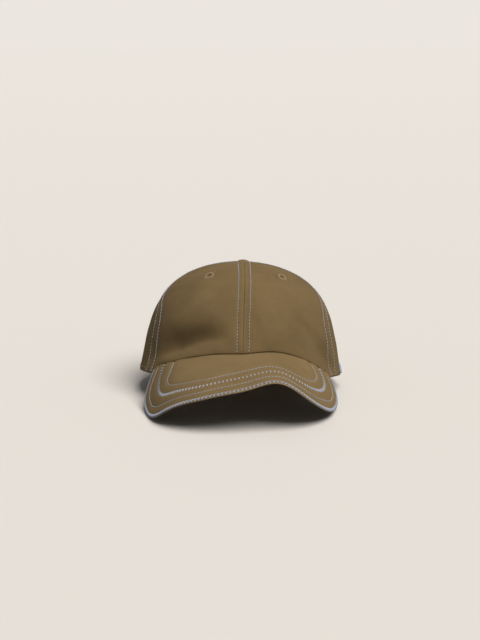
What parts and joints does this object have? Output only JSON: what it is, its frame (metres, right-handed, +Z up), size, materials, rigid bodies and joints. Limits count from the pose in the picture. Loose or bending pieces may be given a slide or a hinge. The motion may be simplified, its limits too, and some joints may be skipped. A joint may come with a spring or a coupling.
{
  "type": "soft six-panel cap",
  "caption": "Soft low-crowned cloth cap with a curved stitched peak, a covered top button, stitched eyelets and a strap with a cam buckle at the back.",
  "frame": {"origin": "middle of the object's bounding box, at the level it rests on", "axes": "-Y to the front of the peak, +X to the wearer's left, +Z up; the cap lies on its back edge and the corners of its peak"},
  "size_m": [0.1874, 0.2576, 0.1155],
  "materials": {
    "twill": "washed olive-brown cotton twill",
    "contrast_thread": "pale blue-grey sewing thread",
    "eyelet_thread": "satin-stitched thread in the cloth's colour",
    "seam_tape": "woven cotton tape",
    "sweatband_cloth": "plain woven cotton",
    "peak_board": "matt polyethylene sheet",
    "label_cloth": "blank satin",
    "side_tab": "plain pale blue woven tab",
    "tinned_steel": "tinned",
    "antique_brass": "aged, brushed"
  },
  "bodies": {
    "cap": {"back_arch_binding": "twill", "back_left_panel": "twill", "back_right_panel": "twill", "buckle_frame": "antique_brass", "buckle_keeper": "twill", "buckle_pin": "antique_brass", "button_back_plate": "tinned_steel", "button_core": "tinned_steel", "button_cover": "twill", "care_label": "label_cloth", "crown_topstitch": "contrast_thread", "eyelets": "eyelet_thread", "front_left_panel": "twill", "front_right_panel": "twill", "peak_board": "peak_board", "peak_bottom_cover": "twill", "peak_stitch_1": "contrast_thread", "peak_stitch_2": "contrast_thread", "peak_stitch_3": "contrast_thread", "peak_stitch_4": "contrast_thread", "peak_top_cover": "twill", "rim_stitch": "contrast_thread", "rim_tape": "sweatband_cloth", "seam_tapes": "seam_tape", "side_label": "side_tab", "side_left_panel": "twill", "side_right_panel": "twill", "size_label": "label_cloth", "strap": "twill", "sweatband": "sweatband_cloth"},
    "buckle_lever": {"buckle_lever": "antique_brass"}
  },
  "joints": [
    {"name": "buckle_lever_hinge", "type": "hinge", "parent": "cap", "child": "buckle_lever", "pos_m": [0.01579, 0.12657, 0.01297], "axis": [0.0105, 0.0674, 0.9977], "range_deg": [0, 100]}
  ]
}
